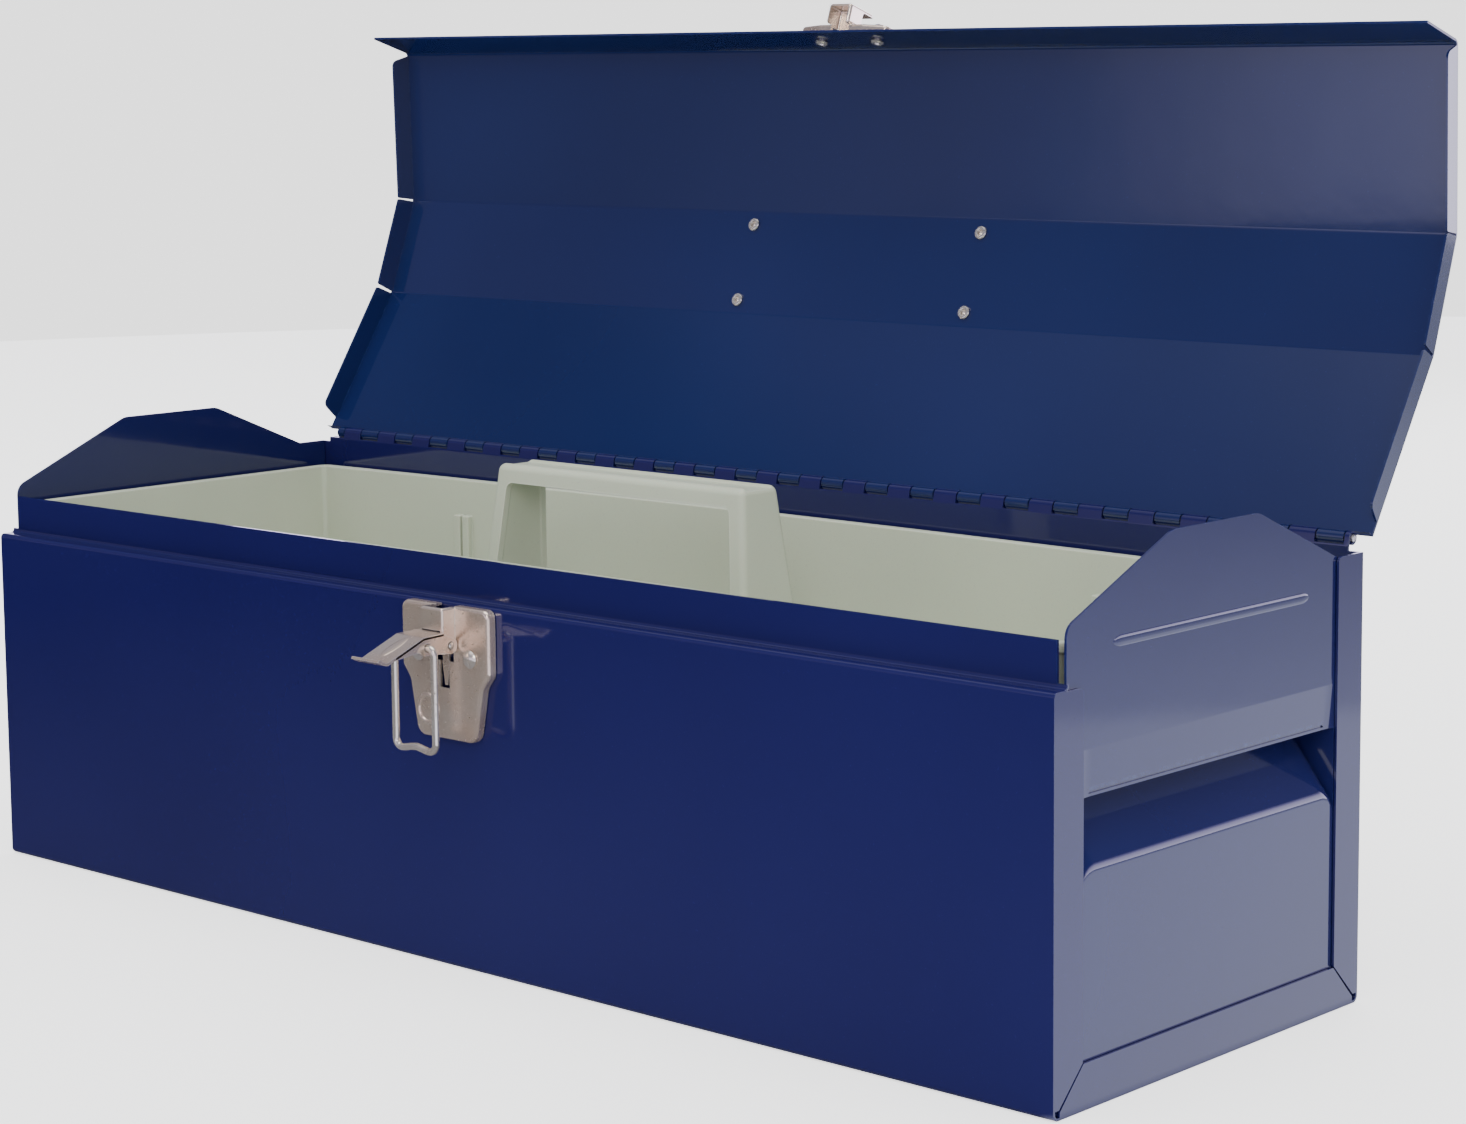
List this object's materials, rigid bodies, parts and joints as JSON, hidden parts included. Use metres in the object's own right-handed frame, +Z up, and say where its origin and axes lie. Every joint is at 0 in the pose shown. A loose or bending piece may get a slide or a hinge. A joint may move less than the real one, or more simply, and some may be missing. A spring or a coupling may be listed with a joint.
{
  "type": "tool box",
  "caption": "Hip-roof sheet-steel tool box with hinged lid, folding carry handle, draw latch, end handholds and lift-out moulded tray, lid open",
  "frame": {"origin": "centre of the bottom sheet's underside", "axes": "+X along the box to the right seen from the latch side, +Y to the hinge side, +Z up"},
  "size_m": [0.4872, 0.2479, 0.3111],
  "materials": {
    "blue_paint": "gloss enamel with fine orange peel",
    "hinge_wire": "drawn wire",
    "nickel_plate": "bright plated steel",
    "tray_plastic": "moulded, fine satin texture"
  },
  "bodies": {
    "body": {"body_wrap": "blue_paint", "end_plate_left": "blue_paint", "end_plate_right": "blue_paint", "hinge_pin": "hinge_wire", "latch_base_plate": "nickel_plate", "latch_rivet_left": "nickel_plate", "latch_rivet_right": "nickel_plate", "latch_pivot_pin": "nickel_plate"},
    "lid": {"lid_shell": "blue_paint", "handle_bracket_left": "nickel_plate", "handle_bracket_right": "nickel_plate", "handle_rivet_1": "nickel_plate", "handle_rivet_2": "nickel_plate", "handle_rivet_3": "nickel_plate", "handle_rivet_4": "nickel_plate", "latch_strike": "nickel_plate", "strike_rivet_left": "nickel_plate", "strike_rivet_right": "nickel_plate"},
    "carry_handle": {"handle_bail": "nickel_plate"},
    "lever": {"latch_lever": "nickel_plate"},
    "loop": {"latch_loop": "nickel_plate"},
    "lift_out_tray": {"tray": "tray_plastic"}
  },
  "joints": [
    {"name": "lid_hinge", "type": "hinge", "parent": "body", "child": "lid", "pos_m": [0, 0.08, 0.1444], "axis": [-1, 0, 0], "range_deg": [-109.35, 0]},
    {"name": "handle_pivot", "type": "hinge", "parent": "lid", "child": "carry_handle", "pos_m": [0.0019, 0.1284, 0.21463], "axis": [1, 0, 0], "range_deg": [-18, 160]},
    {"name": "latch_lever", "type": "hinge", "parent": "body", "child": "lever", "pos_m": [0.0023, -0.0846, 0.1078], "axis": [1, 0, 0], "range_deg": [0, 86]},
    {"name": "latch_loop", "type": "hinge", "parent": "lever", "child": "loop", "pos_m": [0.0023, -0.0945, 0.1083], "axis": [1, 0, 0], "range_deg": [-266.6, 0]},
    {"name": "tray_lift", "type": "slide", "parent": "body", "child": "lift_out_tray", "axis": [0, 0, 1], "range_m": [0, 0.2]}
  ],
  "couplings": [
    {"joint": "latch_loop", "follows": "latch_lever", "ratio": -3.1}
  ]
}
